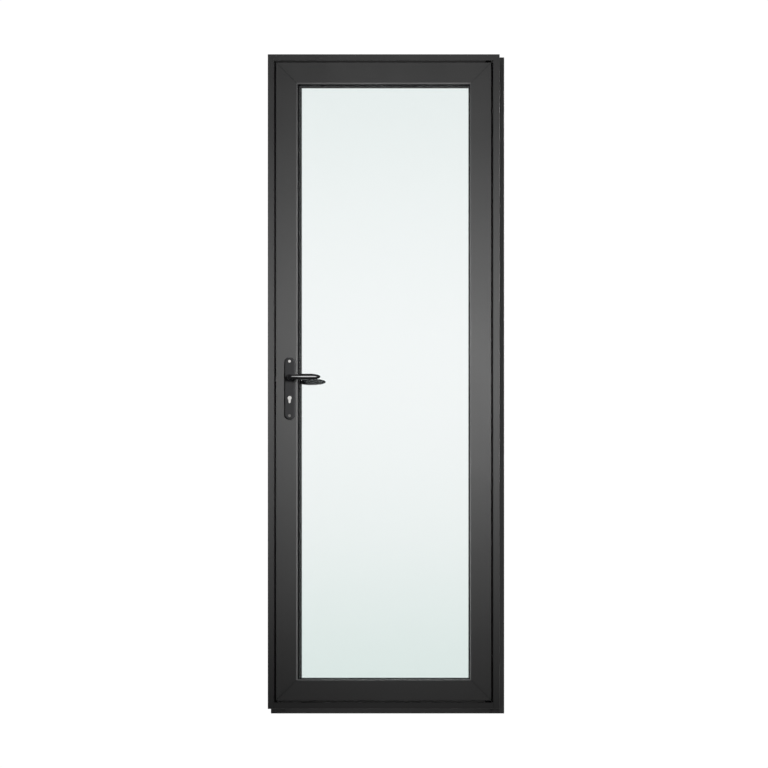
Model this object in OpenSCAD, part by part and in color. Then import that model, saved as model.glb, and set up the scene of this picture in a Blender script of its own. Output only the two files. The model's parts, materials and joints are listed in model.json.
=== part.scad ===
// Glazed aluminium door leaf in its wrap-around frame, with lever handles, lock and pivots.
// X runs along the width, Y from front to back and Z up from the sole; the leaf's middle is at Y = 0.
// Inside the modules Y is measured from the front face.

/* [Frame] */
// Width of the frame's front face
door_w = 830; // [700:1:1100]
// Height of the frame's front face
door_h = 2345; // [1900:1:2500]
// Depth of the frame from front lip to rear flange
frame_depth = 104; // [100:1:130]
// Width of the frame that shows beside the leaf
face_w = 22; // [20:0.5:30]
// Thickness of the front lip
lip_t = 6; // [4:0.5:8]
// Depth of the throat that takes the wall's edge
throat_d = 13; // [10:0.5:14]
// Thickness of the rear flange
flange_t = 6; // [4:0.5:8]
// How far the rear flange stands past the front lip
flange_over = 2.5; // [1:0.5:6]
// Width of the stop behind the leaf
stop_w = 27; // [26:0.5:34]
// Wall of the frame's extrusions
frame_wall = 2; // [1.5:0.1:2.2]
// Diameter of the fixing holes through the jambs
fixing_d = 9; // [6:0.5:11]
// Distance of the outer fixing holes from the ends of the frame
fixing_end = 197.5; // [150:0.5:300]
// Number of fixing holes in a jamb
fixing_count = 4; // [3:1:5]
// Distance of the fixing holes from the front face
fixing_y = 36; // [24:1:48]

/* [Leaf] */
// Gap between leaf and frame
gap = 8; // [7:0.5:10]
// Thickness of the leaf
leaf_t = 62; // [60:1:66]
// Width of the hollow tube of a stile or rail
tube_w = 68; // [66:1:80]
// Wall of the leaf's extrusions
leaf_wall = 2.5; // [1.8:0.1:3]
// Width of the glazing lip beside the tube
lip_w = 4; // [3:0.5:10]
// Sloped nose at the end of the glazing lip
nose = 4; // [2:0.5:5]
// Depth of the glazing lip
lip_depth = 12; // [10:0.5:14]
// Width of a glazing bead
bead_w = 12; // [10:0.5:16]
// Wall of a glazing bead
bead_wall = 1.5; // [1:0.1:2]

/* [Glazing] */
// Thickness of one pane
pane_t = 4; // [3:0.5:5]
// Space between the panes
cavity = 16; // [12:1:16]
// Play between pane edge and tube
pane_play = 3; // [2:0.5:4]
// Thickness of the front gasket
gasket_front_t = 6; // [4:0.5:6]
// Thickness of the rear gasket
gasket_rear_t = 4; // [3:0.5:5]
// How far a gasket shows past its nose
gasket_reach = 4.7; // [3:0.1:6]
// Height of the spacer bar between the panes
spacer_h = 7; // [5:0.5:9]
// Length of a setting block under the panes
block_l = 100; // [60:5:140]

/* [Handles] */
// Height of the spindle above the sole
lever_height = 1187; // [1000:1:1250]
// Distance of the spindle from the leaf's edge
backset = 49; // [46:0.5:50]
// Width of a handle plate
plate_w = 40; // [36:1:42]
// Length of a handle plate
plate_l = 224; // [216:1:250]
// Thickness of a handle plate
plate_t = 8; // [6:0.5:10]
// Chamfer round a handle plate
plate_chamfer = 2; // [1:0.5:3]
// How far the plate's middle lies below the spindle
plate_drop = 38; // [34:1:42]
// Distance between the plate's two screws
screw_spacing = 195; // [190:1:200]
// Diameter of a plate screw
screw_d = 5; // [4:0.5:6]
// Diameter of a plate screw's head
screw_head_d = 10; // [9:0.5:11]
// Distance of the lever's tip from the spindle
lever_l = 115; // [105:1:135]
// Distance of the lever's grip from the leaf's face
lever_reach = 38; // [36:1:55]
// Diameter of the collar where the lever leaves the plate
collar_d = 24; // [20:1:28]
// Diameter of the lever's journal in the plate
journal_d = 18; // [16:0.5:19]
// Diameter of the lever's neck
neck_d = 15; // [14:0.5:18]
// Largest height of the grip
grip_h = 22; // [18:0.5:26]
// Largest thickness of the grip
grip_t = 13; // [10:0.5:16]
// Width across the square spindle
spindle_w = 8; // [7:0.5:9]

/* [Lock] */
// Distance from spindle to cylinder
cylinder_drop = 72; // [70:1:75]
// Diameter of the cylinder's round part
cylinder_d = 17; // [16.5:0.1:17.5]
// Height of the whole cylinder profile
cylinder_h = 33; // [32:0.5:34]
// Width of the cylinder's lower part
cylinder_slot_w = 10; // [9.5:0.1:10.5]
// Width of the keyhole's round part in a handle plate
keyhole_d = 15; // [14:0.1:15.6]
// Height of the whole keyhole
keyhole_h = 26; // [24:0.5:28]
// Width of the keyhole's lower part
keyhole_slot_w = 8.6; // [8:0.1:9]
// Thickness of a handle plate over the cylinder's end
keyhole_rim = 2.5; // [2:0.5:3]
// Diameter of the key plug
plug_d = 13; // [12:0.5:13.5]
// Radius of the cam's lobe
cam_r = 15; // [13:0.5:15.5]
// Thickness of the lock case
case_t = 20; // [18:0.5:22]
// Diameter of the follower that the spindle turns
follower_d = 22; // [20:0.5:23]
// How far the latch stands out of the leaf
latch_out = 11; // [9.5:0.1:12]
// Height of the latch
latch_h = 18; // [14:0.5:20]
// Width of latch and bolt across the leaf
bolt_w = 12; // [10:0.5:13]
// Height of the dead bolt
bolt_h = 22; // [18:0.5:24]
// Length of the forend in the leaf's edge
forend_l = 240; // [220:1:260]
// Length of the strike plate in the jamb
strike_l = 200; // [160:1:220]

/* [Pivots] */
// Distance of the pivot axis from the leaf's edge and face
pivot_inset = 12; // [12:0.5:14]
// Diameter of a pivot pin
pivot_d = 12; // [9:0.5:13]
// Diameter of a pivot's bearing collar
pivot_collar_d = 20; // [17:0.5:22]
// Length of a pivot pin inside the leaf
pivot_l = 28; // [20:1:36]
// Length of a corner cleat's leg
cleat_l = 110; // [96:1:140]
// Depth of a corner cleat
cleat_t = 21; // [20:0.5:24]

/* [Fits] */
// Radial clearance of a running fit
running = 0.05; // [0.02:0.01:0.09]
// Play of a piece that is slid into place
slide_play = 0.2; // [0.1:0.05:0.4]
// Play round the sliding bolts and beside what turns
free_play = 0.3; // [0.2:0.05:0.5]

/* [Hidden] */
$fn = 64;

// Finishes
anthracite = "#333435";
rubber_black = "#161718";
glass_tint = [0.86, 0.92, 0.91, 0.4];
gloss_black = "#0c0c0d";
nickel = "#c9cacb";
steel = "#9a9c9e";

// Frame places
door_mid = flange_over + door_h / 2;
front_top = flange_over + door_h;
flange_y = frame_depth - flange_t;
seal_room = 4;
stop_y = leaf_t + seal_room;
stop_p = face_w + stop_w;
over_cut = 200;
past = 1;
skin = 0.02;
seal_clear = 1;

// Leaf places
leaf_w = door_w - 2 * (face_w + gap);
leaf_h = door_h - 2 * (face_w + gap);
leaf_low = door_mid - leaf_h / 2;
leaf_high = door_mid + leaf_h / 2;
leaf_mid = leaf_t / 2;
sight = tube_w + lip_w + nose;
front_glass_y = lip_depth + gasket_front_t;
rear_glass_y = front_glass_y + 2 * pane_t + cavity;
bead_y = rear_glass_y + gasket_rear_t;
pane_edge = tube_w + pane_play;
pane_w = leaf_w - 2 * pane_edge;
pane_h = leaf_h - 2 * pane_edge;
spacer_inset = 2;
gasket_inset = 1;

// Lock places
lock_x = -leaf_w / 2;
lever_x = lock_x + backset;
cylinder_z = lever_height - cylinder_drop;
bolt_clear = 4;
bolt_z = cylinder_z + cam_r + bolt_h / 2 + bolt_clear;
plate_z = lever_height - plate_drop;
case_low = cylinder_z - cylinder_h;
case_high = lever_height + cylinder_h + slide_play;
case_end = tube_w - leaf_wall - free_play;
latch_l = 24;
bolt_l = 44;
cam_t = 10;
cam_room = cam_r + 2 * free_play;
cam_lobe_w = 8;
cylinder_end = plate_t - keyhole_rim - free_play;
keyway = [2, 6, 8];
keyway_drop = 1;
strike_play = 2;
rim_t = 0.6;
edge_t = 1.5;
latch_tip = 2;
bore_play = 1;

// Pivot places
pivot_x = leaf_w / 2 - pivot_inset;
pivot_y = pivot_inset;
swing_rise = norm([pivot_inset, leaf_t - pivot_y]) - (leaf_t - pivot_y);
sill_top = flange_over + face_w;
stem_d = 6;
stem_l = face_w - throat_d - frame_wall;
pivot_room = 2;

// Lever places
collar_t = 6;
bend_r = 14;
bend_step = 15;
neck_sunk = 2;
neck_start = plate_t + collar_t - neck_sunk;
neck_l = lever_reach - bend_r - neck_start;
grip_l = lever_l - bend_r;
grip_rings = 18;
grip_bow = 2;
swell_h = 0.65;
swell_t = 0.4;
tip_start = 0.72;
tip_least = 0.004;
spindle_short = 1;
loft_sides = 24;

// Brings the middle of the leaf's thickness to the origin
module placed() {
    translate([0, -leaf_mid, 0])
        children();
}

// Outline that a set of mitred bars is laid round, with its bars' inward direction turned up
module on_side(side, w, h) {
    turn = side == "bottom" ? 0 : side == "top" ? 180 : side == "left" ? 90 : -90;
    across = side == "left" ? -w / 2 : side == "right" ? w / 2 : 0;
    up = side == "bottom" ? -h / 2 : side == "top" ? h / 2 : 0;
    translate([across, 0, door_mid + up])
        rotate([0, turn, 0])
            children();
}

// Half space past a mitre plane at the end of a bar
module mitre_cut(half) {
    translate([half, 0, 0])
        rotate([0, -45, 0])
            translate([0, -over_cut, -over_cut])
                cube(2 * over_cut);
}

// Bar along X of a section drawn inward and backward, mitred at one or both ends
module bar(length, start = true, end = true) {
    difference() {
        rotate([0, -90, 0])
            linear_extrude(height = length + 2 * flange_over, center = true)
                children();
        if (end)
            mitre_cut(length / 2);
        if (start)
            mirror([1, 0, 0])
                mitre_cut(length / 2);
    }
}

// Corners of a rectangle set in from a width and height, at a depth
function corners(w, h, y, inset) = [
    for (c = [[-1, -1], [1, -1], [1, 1], [-1, 1]])
        [c.x * (w / 2 - inset), y, door_mid + c.y * (h / 2 - inset)]
];

// Upright block between two depths, set in from a rectangle by one amount
module slab(w, h, front, back, inset) {
    translate([inset - w / 2, front, door_mid - h / 2 + inset])
        cube([w - 2 * inset, back - front, h - 2 * inset]);
}

// Upright block that is set in by one amount at its front and by another at its back
module taper(w, h, front, front_inset, back, back_inset) {
    polyhedron(
        concat(corners(w, h, front, front_inset), corners(w, h, back, back_inset)),
        [[3, 2, 1, 0], [4, 5, 6, 7], [0, 1, 5, 4], [1, 2, 6, 5], [2, 3, 7, 6], [3, 0, 4, 7]]
    );
}

// Section of the frame: lip, web, stop and flange round two hollow chambers
module frame_section() {
    difference() {
        polygon([
            [0, 0], [face_w, 0], [face_w, stop_y], [stop_p, stop_y], [stop_p, frame_depth],
            [-flange_over, frame_depth], [-flange_over, flange_y], [throat_d, flange_y],
            [throat_d, lip_t], [0, lip_t]
        ]);
        translate([throat_d + frame_wall, lip_t + frame_wall])
            square([face_w - throat_d - 2 * frame_wall, stop_y - lip_t - frame_wall]);
        translate([throat_d + frame_wall, stop_y + frame_wall])
            square([stop_p - throat_d - 2 * frame_wall, frame_depth - stop_y - 2 * frame_wall]);
    }
}

module frame_head() {
    color(anthracite)
        difference() {
            on_side("top", door_w, door_h)
                bar(door_w)
                    frame_section();
            pivot_stem_hole(front_top);
        }
}

// Space below a jamb: its web ends at the throat, its lip and flange at the sole
module jamb_foot_cut() {
    translate([-door_w, lip_t, -over_cut])
        cube([2 * door_w, flange_y - lip_t, over_cut + flange_over + throat_d]);
    translate([-door_w, -past, -over_cut])
        cube([2 * door_w, lip_t + 2 * past, over_cut + flange_over]);
    translate([-door_w, flange_y - past, -over_cut])
        cube([2 * door_w, flange_t + 2 * past, over_cut]);
}

// Row of holes that the frame is screwed to the wall's edge through
module fixing_holes() {
    step = (door_h - 2 * fixing_end) / (fixing_count - 1);
    for (i = [0 : fixing_count - 1])
        translate([0, fixing_y, flange_over + fixing_end + i * step])
            rotate([0, 90, 0])
                cylinder(d = fixing_d, h = 2 * door_w, center = true);
}

module jamb_left() {
    color(anthracite)
        difference() {
            on_side("left", door_w, door_h)
                bar(door_h, end = false)
                    frame_section();
            jamb_foot_cut();
            fixing_holes();
            strike_blank(slide_play / 2);
        }
}

module jamb_right() {
    color(anthracite)
        difference() {
            on_side("right", door_w, door_h)
                bar(door_h, start = false)
                    frame_section();
            jamb_foot_cut();
            fixing_holes();
        }
}

module frame_sill() {
    color(anthracite)
        difference() {
            on_side("bottom", door_w, door_h)
                bar(door_w - 2 * face_w - 2 * flange_over, start = false, end = false)
                    frame_section();
            for (side = [-1, 1])
                translate([side * (door_w / 2 - stop_p + over_cut), stop_y + over_cut, door_mid])
                    cube([2 * over_cut, 2 * over_cut, 2 * door_h], center = true);
            pivot_stem_hole(flange_over);
        }
}

// Corner keys in the stop's chamber that hold head and jambs together
module frame_cleats() {
    inset = throat_d + frame_wall + slide_play;
    deep = stop_p - throat_d - 2 * frame_wall - 2 * slide_play;
    thick = frame_depth - stop_y - 2 * frame_wall - 2 * slide_play;
    color(steel)
        for (side = [0, 1])
            mirror([side, 0, 0])
                translate([-door_w / 2 + inset, stop_y + frame_wall + slide_play, front_top - inset])
                    rotate([90, 0, 0])
                        mirror([0, 0, 1])
                            linear_extrude(height = thick)
                                corner_l(cleat_l, deep);
}

// Flat L with its outer corner at the origin, one leg to the right and one down
module corner_l(leg, wide) {
    polygon([[0, 0], [leg, 0], [leg, -wide], [wide, -wide], [wide, -leg], [0, -leg]]);
}

// Soft strip on the stop that the closed leaf shuts against
module frame_seal() {
    seal_edge = face_w + gap + pivot_inset + seal_clear;
    seal_w = door_w - 2 * seal_edge;
    seal_h = door_h - 2 * seal_edge;
    lip = stop_p - seal_edge - seal_clear;
    tip = leaf_t + swing_rise + free_play;
    foot = (tip + stop_y) / 2;
    slope = lip / 2 / (foot - tip);
    color(rubber_black)
        difference() {
            union() {
                slab(seal_w, seal_h, foot, stop_y, 0);
                taper(seal_w, seal_h, tip, lip / 2, foot, 0);
            }
            taper(seal_w, seal_h, tip - past, lip / 2 - slope * past, foot, lip);
            slab(seal_w, seal_h, foot - skin, stop_y + past, lip);
        }
}

// Place of the strike plate in the inner wall of the left jamb
module strike_blank(play) {
    middle = (lever_height + bolt_z) / 2;
    translate([-door_w / 2 + face_w - frame_wall / 2, leaf_mid, middle])
        cube([frame_wall + (play > 0 ? skin : 0), case_t + 2 * play, strike_l + 2 * play], center = true);
}

module strike_plate() {
    open_w = bolt_w + 2 * strike_play;
    color(steel)
        difference() {
            strike_blank(0);
            translate([-door_w / 2, leaf_mid, lever_height])
                cube([door_w / 2, open_w, latch_h + 2 * strike_play], center = true);
            translate([-door_w / 2, leaf_mid, bolt_z])
                cube([door_w / 2, open_w, bolt_h + 2 * strike_play], center = true);
        }
}

// Stem of a pivot pin, and its hole in the frame's inner wall
module pivot_stem_hole(edge) {
    translate([pivot_x, pivot_y, edge + (edge > door_mid ? -1 : 1) * (face_w - frame_wall / 2)])
        cylinder(d = stem_d + slide_play, h = frame_wall + skin, center = true);
}

// Turned pin on a bearing collar, standing on the sill
module pivot_pin() {
    color(steel) {
        translate([0, 0, -stem_l + slide_play])
            cylinder(d = stem_d, h = stem_l + past);
        cylinder(d = pivot_collar_d, h = gap - running);
        cylinder(d = pivot_d, h = gap + pivot_l);
    }
}

module pivot_pin_bottom() {
    translate([pivot_x, pivot_y, sill_top])
        pivot_pin();
}

module pivot_pin_top() {
    translate([pivot_x, pivot_y, front_top - face_w])
        mirror([0, 0, 1])
            pivot_pin();
}

// Section of stiles and rails: hollow tube with a glazing lip on its front
module leaf_section() {
    difference() {
        polygon([
            [0, 0], [tube_w + lip_w, 0], [sight, nose], [sight, lip_depth], [sight - leaf_wall, lip_depth],
            [sight - leaf_wall, nose + leaf_wall], [tube_w, nose + leaf_wall], [tube_w, leaf_t], [0, leaf_t]
        ]);
        translate([leaf_wall, leaf_wall])
            square([tube_w - 2 * leaf_wall, leaf_t - 2 * leaf_wall]);
    }
}

module leaf_bar(side) {
    on_side(side, leaf_w, leaf_h)
        bar(side == "top" || side == "bottom" ? leaf_w : leaf_h)
            leaf_section();
}

// Keyhole outline, drawn across and upward: a circle above a narrower slot with a round end
module keyhole_outline(d, h, slot_w) {
    low = h - d / 2 - slot_w / 2;
    circle(d = d);
    translate([-slot_w / 2, -low])
        square([slot_w, low]);
    translate([0, -low])
        circle(d = slot_w);
}

// Outline of the profile cylinder, with play all round
module cylinder_profile(play = 0) {
    keyhole_outline(cylinder_d + 2 * play, cylinder_h + 2 * play, cylinder_slot_w + 2 * play);
}

// Hole of the profile cylinder right through the leaf
module cylinder_hole(play) {
    translate([lever_x, leaf_t + over_cut, cylinder_z])
        rotate([90, 0, 0])
            linear_extrude(height = 2 * over_cut + leaf_t)
                cylinder_profile(play);
}

// Cylinder along Y with its middle at a place in the leaf
module cross_hole(z, d, length) {
    translate([lever_x, leaf_mid, z])
        rotate([90, 0, 0])
            cylinder(d = d, h = length, center = true);
}

module stile_lock() {
    color(anthracite)
        difference() {
            leaf_bar("left");
            cross_hole(lever_height, journal_d + 2 * bore_play, leaf_t + 2 * past);
            for (end = [-1, 1])
                cross_hole(plate_z + end * screw_spacing / 2, screw_d + 2 * bore_play, leaf_t + 2 * past);
            cylinder_hole(bore_play);
            forend_blank(slide_play / 2);
        }
}

module stile_pivot() {
    color(anthracite)
        leaf_bar("right");
}

// Hole that a pivot pin passes through in the outer wall of a rail
module pivot_wall_hole(z) {
    translate([pivot_x, pivot_y, z])
        cylinder(d = pivot_d + 2 * bore_play, h = 4 * leaf_wall, center = true);
}

module rail_top() {
    color(anthracite)
        difference() {
            leaf_bar("top");
            pivot_wall_hole(leaf_high);
        }
}

module rail_bottom() {
    color(anthracite)
        difference() {
            leaf_bar("bottom");
            pivot_wall_hole(leaf_low);
        }
}

// Corner key in the leaf's chambers, at the upper left corner
module leaf_cleat() {
    inset = leaf_wall + slide_play;
    translate([-leaf_w / 2 + inset, leaf_wall + slide_play, leaf_high - inset])
        rotate([90, 0, 0])
            mirror([0, 0, 1])
                linear_extrude(height = cleat_t)
                    corner_l(cleat_l, tube_w - 2 * inset);
}

// The same key turned over to a lower corner
module lower() {
    translate([0, 0, 2 * door_mid])
        mirror([0, 0, 1])
            children();
}

module corner_cleats() {
    color(steel) {
        leaf_cleat();
        lower()
            leaf_cleat();
    }
}

// Corner key with the bore that turns on a pivot pin, at the upper right corner
module pivot_cleat() {
    color(steel)
        difference() {
            mirror([1, 0, 0])
                leaf_cleat();
            translate([pivot_x, pivot_y, leaf_high - pivot_l - pivot_room])
                cylinder(r = pivot_d / 2 + running, h = pivot_l + pivot_room + past);
        }
}

module pivot_cleat_top() {
    pivot_cleat();
}

module pivot_cleat_bottom() {
    lower()
        pivot_cleat();
}

// One pane of the sealed unit with its front at a given depth
module pane(y) {
    color(glass_tint)
        translate([-pane_w / 2, y, door_mid - pane_h / 2])
            cube([pane_w, pane_t, pane_h]);
}

module pane_front() {
    pane(front_glass_y);
}

module pane_rear() {
    pane(front_glass_y + pane_t + cavity);
}

module spacer_bar() {
    front = front_glass_y + pane_t;
    spacer_edge = pane_edge + spacer_inset;
    color(nickel)
        difference() {
            slab(leaf_w, leaf_h, front, front + cavity, spacer_edge);
            slab(leaf_w, leaf_h, front - past, front + cavity + past, spacer_edge + spacer_h);
        }
}

// Front gasket, whose opening narrows from the nose to a thin edge on the glass
module gasket_front() {
    thin = front_glass_y - edge_t;
    inner = sight + gasket_reach;
    slope = gasket_reach / (thin - lip_depth);
    color(rubber_black)
        difference() {
            slab(leaf_w, leaf_h, lip_depth, front_glass_y, pane_edge + gasket_inset);
            taper(leaf_w, leaf_h, lip_depth - past, sight - slope * past, thin, inner);
            slab(leaf_w, leaf_h, thin - skin, front_glass_y + past, inner);
        }
}

// Rear gasket, whose opening widens from a thin edge on the glass to the bead
module gasket_rear() {
    bead_edge = tube_w + bead_w;
    thin = rear_glass_y + edge_t;
    inner = bead_edge + gasket_reach;
    slope = gasket_reach / (bead_y - thin);
    color(rubber_black)
        difference() {
            slab(leaf_w, leaf_h, rear_glass_y, bead_y, pane_edge + gasket_inset);
            slab(leaf_w, leaf_h, rear_glass_y - past, thin + skin, inner);
            taper(leaf_w, leaf_h, thin, inner, bead_y + past, bead_edge - slope * past);
        }
}

// Hollow bead that holds the panes from behind
module bead_section() {
    edge = tube_w + bead_w;
    difference() {
        polygon([
            [tube_w, bead_y], [edge, bead_y], [edge, leaf_t - nose], [edge - nose, leaf_t], [tube_w, leaf_t]
        ]);
        translate([tube_w + bead_wall, bead_y + bead_wall])
            square([bead_w - nose - bead_wall, leaf_t - bead_y - 2 * bead_wall]);
    }
}

module bead(side) {
    color(anthracite)
        on_side(side, leaf_w, leaf_h)
            bar(side == "top" || side == "bottom" ? leaf_w : leaf_h)
                bead_section();
}

module bead_left() {
    bead("left");
}

module bead_right() {
    bead("right");
}

module bead_top() {
    bead("top");
}

module bead_bottom() {
    bead("bottom");
}

// Two blocks under the panes' lower edge
module setting_blocks() {
    color(rubber_black)
        for (side = [-1, 1])
            translate([side * pane_w / 4 - block_l / 2, front_glass_y, leaf_low + tube_w])
                cube([block_l, rear_glass_y - front_glass_y, pane_play]);
}

// Flat bar in the leaf's edge that carries the lock case
module forend_blank(play) {
    middle = (case_low + case_high) / 2;
    translate([lock_x + leaf_wall / 2, leaf_mid, middle])
        cube([leaf_wall + (play > 0 ? skin : 0), case_t + 2 * play, forend_l + 2 * play], center = true);
}

// Channel along X for a sliding bolt of the lock
module bolt_channel(z, h, depth) {
    translate([lock_x - past, leaf_mid - bolt_w / 2 - free_play, z - h / 2 - free_play])
        cube([depth + past, bolt_w + 2 * free_play, h + 2 * free_play]);
}

module lock_forend() {
    color(steel)
        difference() {
            forend_blank(0);
            bolt_channel(lever_height, latch_h, latch_l);
            bolt_channel(bolt_z, bolt_h, bolt_l);
        }
}

module lock_case() {
    color(steel)
        difference() {
            translate([lock_x + leaf_wall, leaf_mid - case_t / 2, case_low])
                cube([case_end - leaf_wall, case_t, case_high - case_low]);
            bolt_channel(lever_height, latch_h, latch_l + latch_out + free_play);
            bolt_channel(bolt_z, bolt_h, bolt_l + free_play);
            cross_hole(lever_height, follower_d + 2 * running, case_t + 2 * past);
            cross_hole(cylinder_z, 2 * cam_room, cam_t + 2 * bore_play);
            cylinder_hole(slide_play);
        }
}

// Spring latch, bevelled on the side that meets the strike as the leaf shuts
module latch_bolt() {
    half = bolt_w / 2;
    color(nickel)
        translate([lock_x, leaf_mid, lever_height - latch_h / 2])
            linear_extrude(height = latch_h)
                polygon([
                    [-latch_out, -half], [latch_l, -half], [latch_l, half],
                    [0, half], [-latch_out, latch_tip - half]
                ]);
}

// Dead bolt drawn back flush with the forend
module dead_bolt() {
    color(nickel)
        translate([lock_x, leaf_mid - bolt_w / 2, bolt_z - bolt_h / 2])
            cube([bolt_l, bolt_w, bolt_h]);
}

module cylinder_body() {
    length = leaf_t + 2 * cylinder_end;
    color(nickel)
        difference() {
            translate([lever_x, leaf_t + cylinder_end, cylinder_z])
                rotate([90, 0, 0])
                    linear_extrude(height = length)
                        cylinder_profile();
            cross_hole(cylinder_z, plug_d + 2 * running, length + 2 * past);
            cross_hole(cylinder_z, 2 * cam_room, cam_t + 2 * free_play);
        }
}

// Plug that the key turns, with its keyway, from the cylinder's end to the cam
module key_plug_front() {
    color(nickel)
        difference() {
            translate([lever_x, leaf_mid - cam_t / 2, cylinder_z])
                rotate([90, 0, 0])
                    cylinder(d = plug_d, h = leaf_mid - cam_t / 2 + cylinder_end);
            translate([lever_x, -cylinder_end, cylinder_z - keyway_drop])
                cube(keyway, center = true);
        }
}

module key_plug_rear() {
    at_back()
        key_plug_front();
}

// Cam between the two plugs, with the lobe that throws the dead bolt
module cylinder_cam() {
    color(steel)
        translate([lever_x, leaf_mid + cam_t / 2, cylinder_z])
            rotate([90, 0, 0])
                linear_extrude(height = cam_t)
                    intersection() {
                        circle(r = cam_r);
                        union() {
                            circle(d = plug_d);
                            translate([0, -cam_lobe_w / 2])
                                square([2 * cam_r, cam_lobe_w]);
                        }
                    }
}

// Turns a piece of the front handle set over to the back of the leaf
module at_back() {
    translate([0, leaf_t, 0])
        mirror([0, 1, 0])
            children();
}

// Long plate with round ends and a chamfered rim, its back on the leaf's face
module plate_blank() {
    r = plate_w / 2;
    rim = plate_t - plate_chamfer;
    straight = plate_l - plate_w;
    translate([0, 0, -straight / 2])
        linear_extrude(height = straight)
            polygon([
                [-r, 0], [r, 0], [r, -rim],
                [r - plate_chamfer, -plate_t], [plate_chamfer - r, -plate_t], [-r, -rim]
            ]);
    for (end = [-1, 1])
        translate([0, 0, end * straight / 2])
            rotate([90, 0, 0])
                rotate_extrude()
                    polygon([[0, 0], [r, 0], [r, rim], [r - plate_chamfer, plate_t], [0, plate_t]]);
}

// Countersunk screw along Y with its head level with a plate's face
module screw(length) {
    head_t = (screw_head_d - screw_d) / 2;
    rotate([-90, 0, 0])
        rotate_extrude()
            polygon([
                [0, 0], [screw_head_d / 2, 0], [screw_head_d / 2, rim_t], [screw_d / 2, head_t + rim_t],
                [screw_d / 2, length], [0, length]
            ]);
}

// Countersunk hole for a plate screw, wider than the screw all round
module screw_hole() {
    r = screw_d / 2 + slide_play;
    head_r = screw_head_d / 2 + slide_play;
    rotate([-90, 0, 0])
        rotate_extrude()
            polygon([
                [0, -past], [head_r, -past], [head_r, rim_t],
                [r, head_r - r + rim_t], [r, plate_t + past], [0, plate_t + past]
            ]);
}

// Prism along Y at the cylinder, from one distance off the leaf's face to another
module off_face(near, far) {
    translate([lever_x, -near, cylinder_z])
        rotate([90, 0, 0])
            linear_extrude(height = far - near)
                children();
}

// Handle plate with a pocket for the cylinder's end and a smaller keyhole in front of it
module plate_front() {
    color(gloss_black)
        difference() {
            translate([lever_x, 0, plate_z])
                plate_blank();
            translate([lever_x, -plate_t / 2, lever_height])
                rotate([90, 0, 0])
                    cylinder(r = journal_d / 2 + running, h = plate_t + 2 * past, center = true);
            for (end = [-1, 1])
                translate([lever_x, -plate_t, plate_z + end * screw_spacing / 2])
                    screw_hole();
            off_face(-past, plate_t - keyhole_rim)
                cylinder_profile(slide_play);
            off_face(0, plate_t + past)
                keyhole_outline(keyhole_d, keyhole_h, keyhole_slot_w);
        }
}

module plate_rear() {
    at_back()
        plate_front();
}

module plate_screws() {
    color(nickel)
        for (end = [-1, 1])
            translate([lever_x, -plate_t, plate_z + end * screw_spacing / 2]) {
                screw(plate_t + leaf_mid);
                translate([0, leaf_t + 2 * plate_t, 0])
                    mirror([0, 1, 0])
                        screw(plate_t + leaf_mid);
            }
}

// Rings of the lever's loft: centre, direction across, half thickness and half height
function ease(t) = t * t * (3 - 2 * t);
function mix(a, b, t) = a + (b - a) * t;
function past_tip(t) = max(0, t - tip_start) / (1 - tip_start);
function tip(t) = sqrt(max(tip_least, 1 - pow(past_tip(t), 2)));
function grip_half_h(t) = mix(neck_d / 2, grip_h / 2, ease(min(1, t / swell_h))) * tip(t);
function grip_half_t(t) = mix(neck_d / 2, grip_t / 2, ease(min(1, t / swell_t))) * tip(t);
function neck_rings() = [for (y = [0, neck_l]) [[0, -neck_start - y], 0, neck_d / 2, neck_d / 2]];
function bend_rings() = [
    for (a = [bend_step : bend_step : 90 - bend_step])
        [[bend_r * (1 - cos(a)), -neck_start - neck_l - bend_r * sin(a)], a, neck_d / 2, neck_d / 2]
];
function along_grip() = [
    for (i = [0 : grip_rings])
        let (t = i / grip_rings, out = lever_reach - grip_bow * sin(180 * t))
            [[bend_r + grip_l * t, -out], 90, grip_half_t(t), grip_half_h(t)]
];
function ring_points(r) = [
    for (k = [0 : loft_sides - 1])
        let (c = 360 * k / loft_sides)
            [r[0].x + cos(r[1]) * r[2] * cos(c), r[0].y + sin(r[1]) * r[2] * cos(c), r[3] * sin(c)]
];

// Smooth skin through a list of rings
module loft(rings) {
    count = len(rings);
    points = [for (r = rings) each ring_points(r)];
    sides = [
        for (i = [0 : count - 2], k = [0 : loft_sides - 1])
            let (a = i * loft_sides + k, b = i * loft_sides + (k + 1) % loft_sides)
                each [[a, a + loft_sides, b], [b, a + loft_sides, b + loft_sides]]
    ];
    first = [[for (k = [0 : loft_sides - 1]) k]];
    last = [[for (k = [loft_sides - 1 : -1 : 0]) (count - 1) * loft_sides + k]];
    polyhedron(points, concat(sides, first, last));
}

// Lever with a turned journal and collar, and a neck that bends into the grip
module lever_front() {
    socket = spindle_w + 2 * running;
    color(gloss_black)
        translate([lever_x, 0, lever_height])
            difference() {
                union() {
                    rotate([90, 0, 0])
                        cylinder(d = journal_d, h = plate_t + past);
                    translate([0, -plate_t - free_play, 0])
                        rotate([90, 0, 0])
                            cylinder(d = collar_d, h = collar_t);
                    loft(concat(neck_rings(), bend_rings(), along_grip()));
                }
                translate([0, -plate_t / 2, 0])
                    cube([socket, plate_t + 2 * past, socket], center = true);
            }
}

module lever_rear() {
    at_back()
        lever_front();
}

module spindle() {
    color(steel)
        translate([lever_x, leaf_mid, lever_height])
            cube([spindle_w, leaf_t + 2 * (plate_t - spindle_short), spindle_w], center = true);
}

// Round follower in the lock case that the square spindle turns
module follower() {
    socket = spindle_w + 2 * running;
    color(steel)
        difference() {
            cross_hole(lever_height, follower_d, case_t);
            translate([lever_x, leaf_mid, lever_height])
                cube([socket, case_t + 2 * past, socket], center = true);
        }
}

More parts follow.
